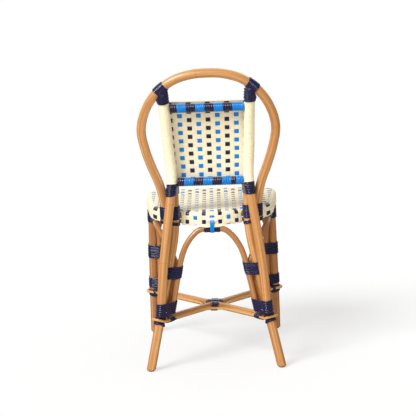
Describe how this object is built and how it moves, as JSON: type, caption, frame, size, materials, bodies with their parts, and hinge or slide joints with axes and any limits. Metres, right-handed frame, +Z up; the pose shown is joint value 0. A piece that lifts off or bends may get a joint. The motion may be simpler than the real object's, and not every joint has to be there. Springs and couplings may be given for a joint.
{
  "type": "rattan bistro chair",
  "caption": "Bistro side chair of bent rattan poles lashed together, with a hooped back, a woven back panel, a woven seat, arched braces and a crossed stretcher.",
  "frame": {"origin": "on the floor, under the middle of the chair's bounding box", "axes": "+Z up, the sitter faces -Y, +X is the sitter's left"},
  "size_m": [0.4294, 0.4868, 0.8911],
  "materials": {
    "rattan": "clear varnish, satin",
    "cane": "clear varnish, satin",
    "cream_strand": "satin",
    "navy_strand": "satin",
    "blue_strand": "satin",
    "glide": "matt"
  },
  "bodies": {
    "root": {"hoop": "rattan", "rear_post_left": "rattan", "rear_post_right": "rattan", "back_rail_bottom": "rattan", "rail_winding_bottom": "blue_strand", "back_rail_top": "rattan", "rail_winding_top": "blue_strand", "post_winding_left": "cream_strand", "post_winding_right": "cream_strand", "back_weave": "cream_strand", "rear_leg_left": "rattan", "front_leg_left": "rattan", "rear_leg_right": "rattan", "front_leg_right": "rattan", "foot_glide_rear_left": "glide", "foot_glide_rear_right": "glide", "foot_glide_front_left": "glide", "foot_glide_front_right": "glide", "seat_ring": "rattan", "seat_rim_rear": "rattan", "seat_rim_front": "rattan", "seat_brace": "rattan", "seat_weave": "cream_strand", "arch_rear": "rattan", "arch_front": "rattan", "arch_left": "rattan", "arch_right": "rattan", "stretcher_pole_rear_left": "rattan", "stretcher_pole_rear_right": "rattan", "stretcher_cane_rear": "cane", "stretcher_cane_right": "cane", "stretcher_cane_front": "cane", "stretcher_cane_left": "cane", "post_top_binding_left": "navy_strand", "post_binding_left": "navy_strand", "seat_corner_binding_left": "navy_strand", "hoop_binding_left": "navy_strand", "post_top_binding_right": "navy_strand", "post_binding_right": "navy_strand", "seat_corner_binding_right": "navy_strand", "hoop_binding_right": "navy_strand", "leg_binding_rear_left": "navy_strand", "arch_binding_rear_left": "navy_strand", "leg_binding_rear_right": "navy_strand", "arch_binding_rear_right": "navy_strand", "leg_top_binding_front_left": "navy_strand", "arch_binding_front_left": "navy_strand", "leg_binding_front_left": "navy_strand", "leg_top_binding_front_right": "navy_strand", "arch_binding_front_right": "navy_strand", "leg_binding_front_right": "navy_strand", "stretcher_binding_rear_left": "navy_strand", "stretcher_binding_rear_right": "navy_strand", "stretcher_binding_front_right": "navy_strand", "stretcher_binding_front_left": "navy_strand", "stretcher_binding_centre": "navy_strand", "arch_top_binding_rear": "navy_strand", "arch_top_binding_front": "navy_strand", "arch_top_binding_left": "navy_strand", "arch_top_binding_right": "navy_strand"}
  },
  "joints": []
}
